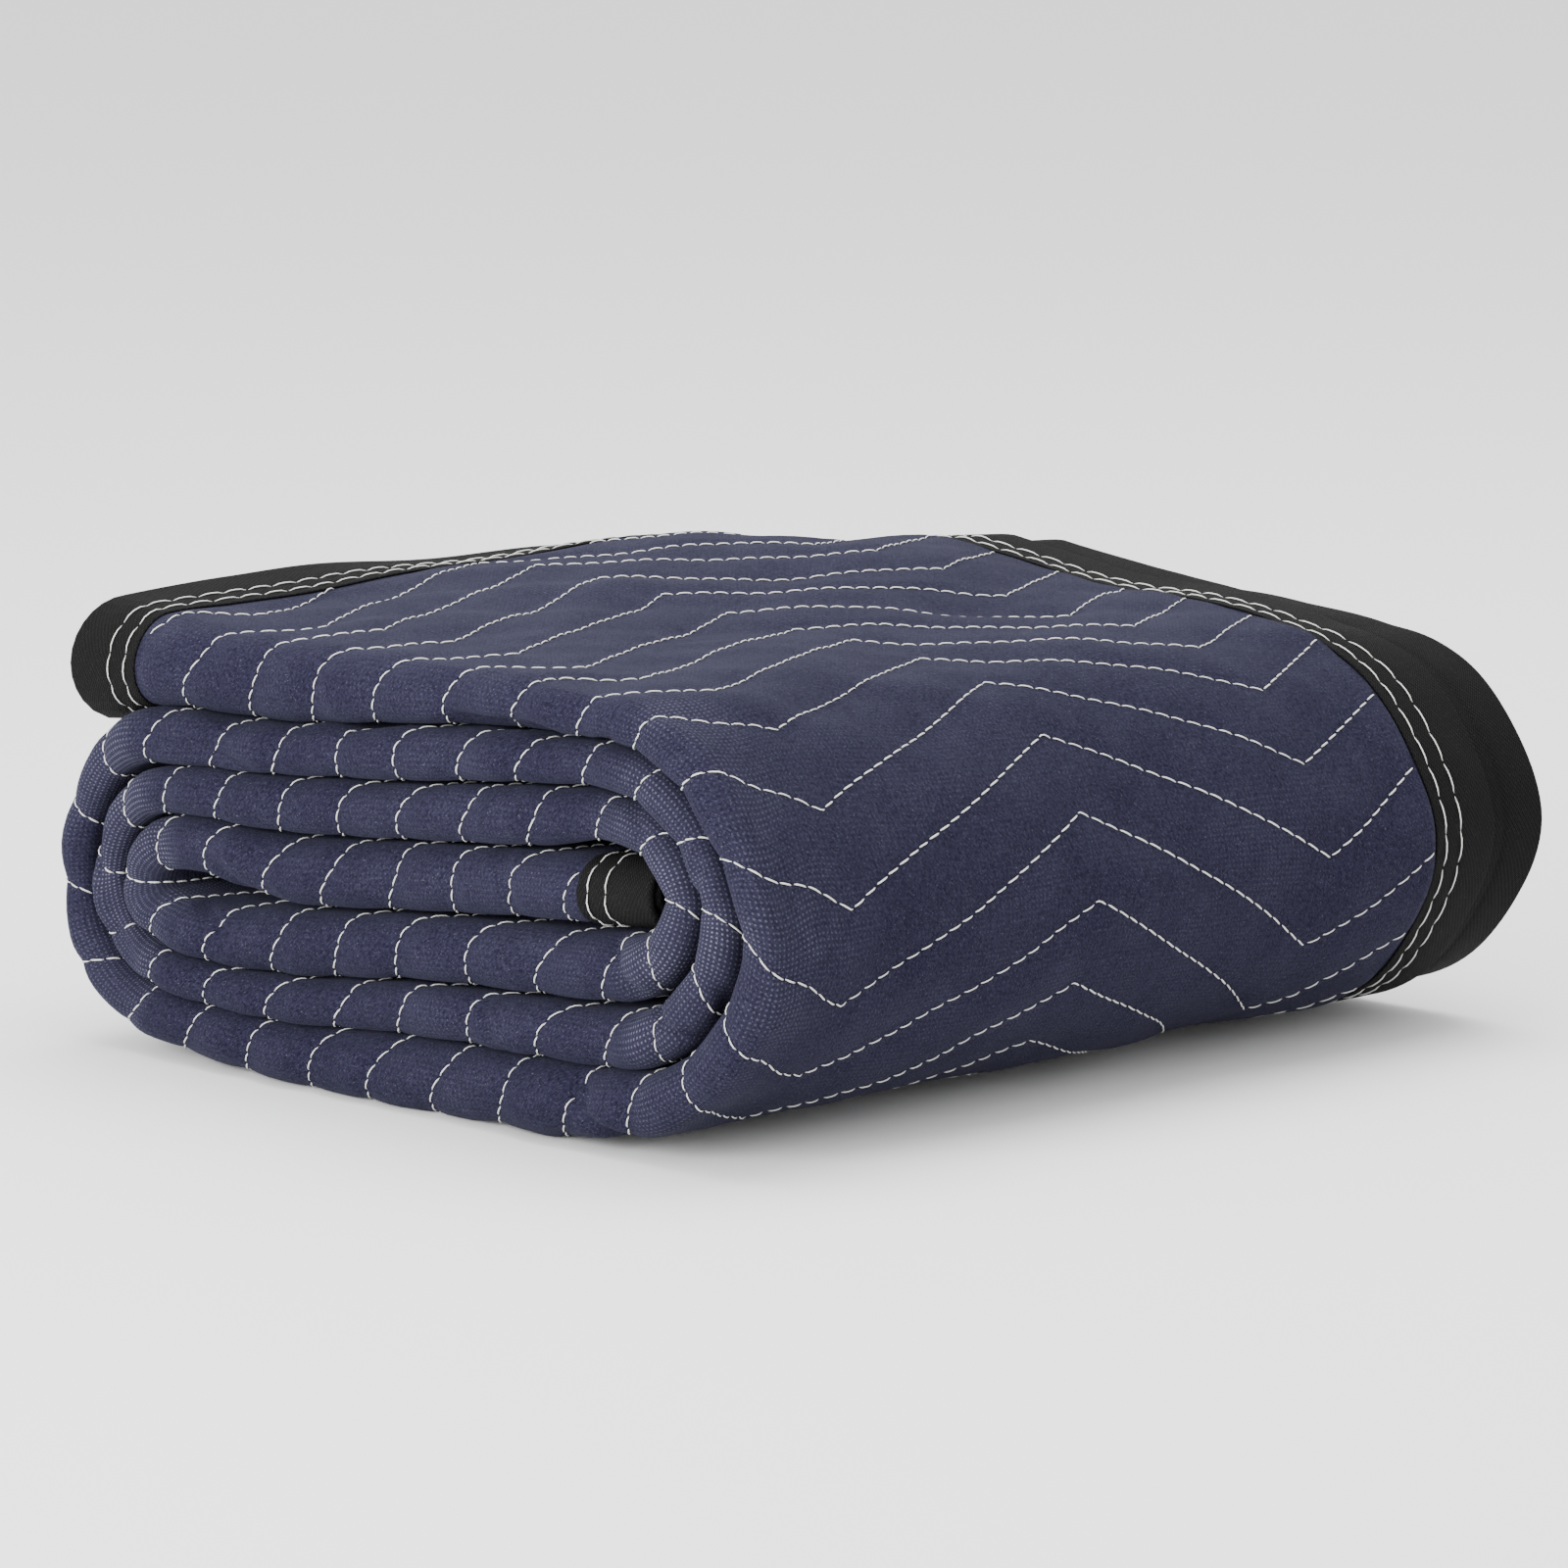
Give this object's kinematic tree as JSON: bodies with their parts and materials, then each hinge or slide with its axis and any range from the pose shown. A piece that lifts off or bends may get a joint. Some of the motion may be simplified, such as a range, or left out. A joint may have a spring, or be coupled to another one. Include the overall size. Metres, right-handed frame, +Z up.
{
  "type": "folded moving blanket",
  "caption": "Quilted moving blanket with bound edges, folded lengthwise and rolled flat into a compact bundle for storage or padding",
  "frame": {"origin": "under the middle of the bundle, on the surface that it rests on", "axes": "+Z up; +Y along the roll, from the rounded noses of the layers at -Y to the bound edges at +Y; +X along the rolled strip, towards the outside wrap that turns from the top down to the underside"},
  "size_m": [0.2828, 0.308, 0.126],
  "materials": {
    "quilted_cloth": "matt non-woven cloth, padded and quilted",
    "binding_tape": "matt woven tape"
  },
  "bodies": {
    "root": {"quilted_blanket": "quilted_cloth", "end_binding_outer": "binding_tape", "end_binding_inner": "binding_tape", "edge_binding_upper": "binding_tape", "edge_binding_lower": "binding_tape"}
  },
  "joints": []
}
